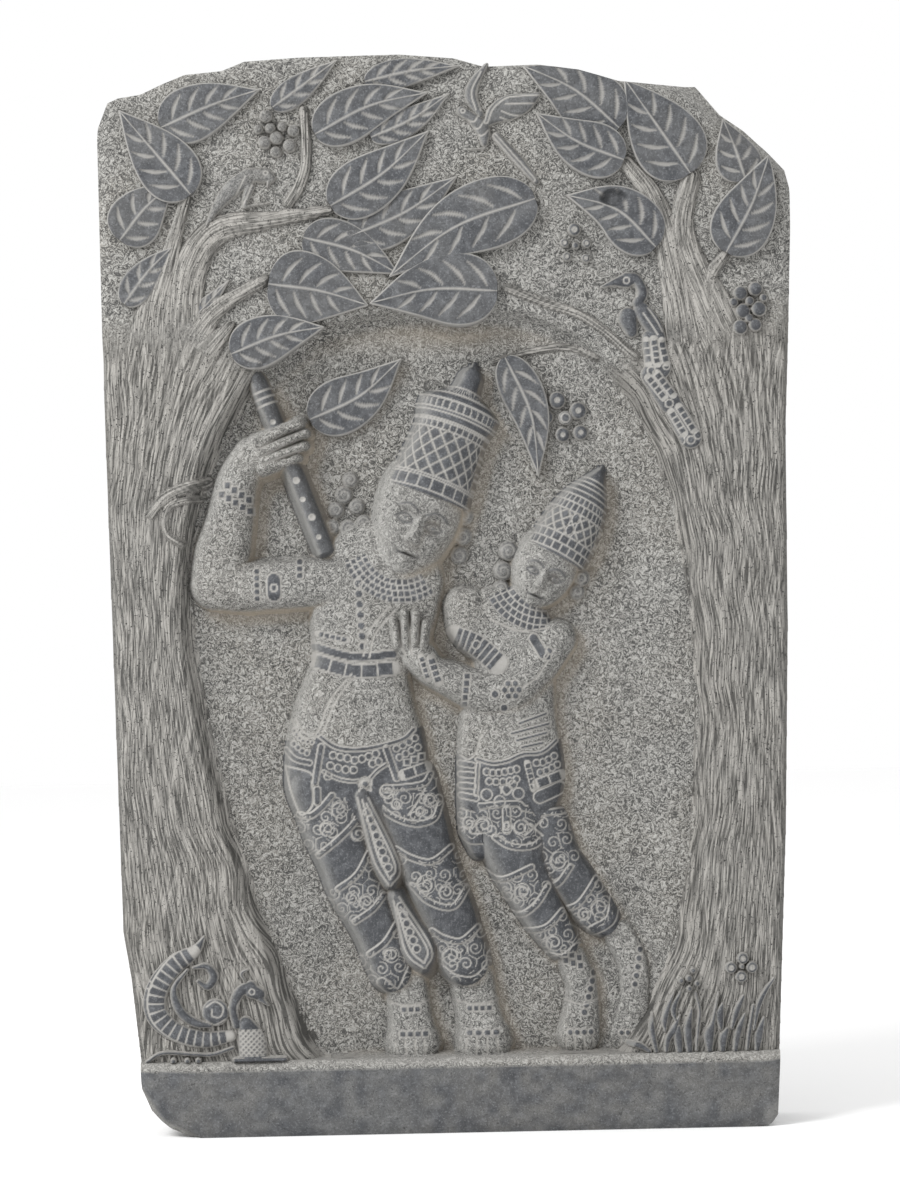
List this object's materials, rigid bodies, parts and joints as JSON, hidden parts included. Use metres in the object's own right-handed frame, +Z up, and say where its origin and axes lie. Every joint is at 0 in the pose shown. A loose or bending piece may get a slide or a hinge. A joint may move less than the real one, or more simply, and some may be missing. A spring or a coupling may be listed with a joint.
{
  "type": "relief panel",
  "caption": "Upright carved stone relief panel on a plain plinth band: a flute player and a companion under two leafy trees.",
  "frame": {"origin": "middle of the flat underside, half way between the back and the plinth's front", "axes": "+Z up along the slab, +X to the viewer's right, -Y out of the carved front"},
  "size_m": [0.693, 0.13, 1.08],
  "materials": {
    "stone": "weathered, chiselled"
  },
  "bodies": {
    "root": {"relief_panel": "stone"}
  },
  "joints": []
}
